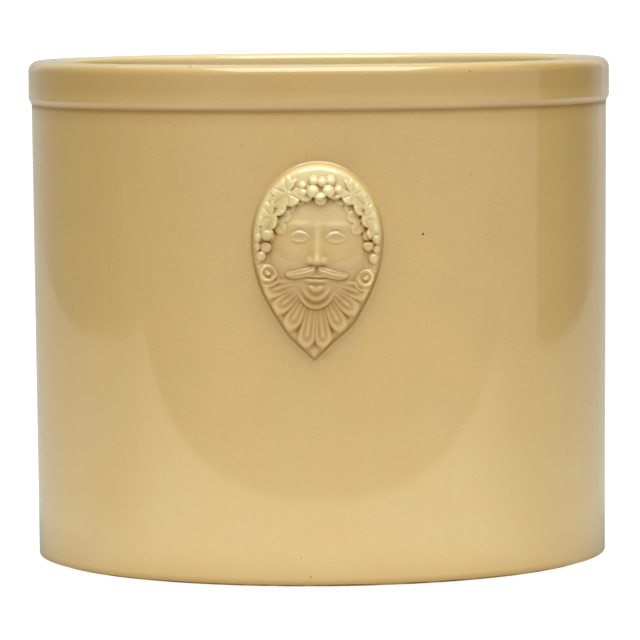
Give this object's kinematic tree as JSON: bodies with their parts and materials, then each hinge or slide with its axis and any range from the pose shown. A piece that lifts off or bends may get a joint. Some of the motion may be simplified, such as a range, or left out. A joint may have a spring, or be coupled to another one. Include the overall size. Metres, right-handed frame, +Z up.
{
  "type": "cachepot",
  "caption": "Round glazed stoneware cachepot with a plain rim band and an applied egg-shaped relief of a bearded head in a vine wreath.",
  "frame": {"origin": "on the pot's axis, in the plane of the table that the foot ring stands on", "axes": "+Z up along the pot's axis, -Y to the front, where the mask is, +X to the viewer's right"},
  "size_m": [0.254, 0.2649, 0.2175],
  "materials": {
    "glaze": "glossy honey-cream glaze",
    "bare_clay": "unglazed buff stoneware"
  },
  "bodies": {
    "root": {"pot_body": "glaze", "foot_ring": "bare_clay", "mask_plaque": "glaze", "mask_head": "glaze", "brow_grapes": "glaze", "left_temple_grapes": "glaze", "right_temple_grapes": "glaze", "left_temple_leaf": "glaze", "right_temple_leaf": "glaze", "left_brow_leaf": "glaze", "right_brow_leaf": "glaze", "moustache": "glaze", "left_cheek_curl": "glaze", "right_cheek_curl": "glaze", "beard": "glaze"}
  },
  "joints": []
}
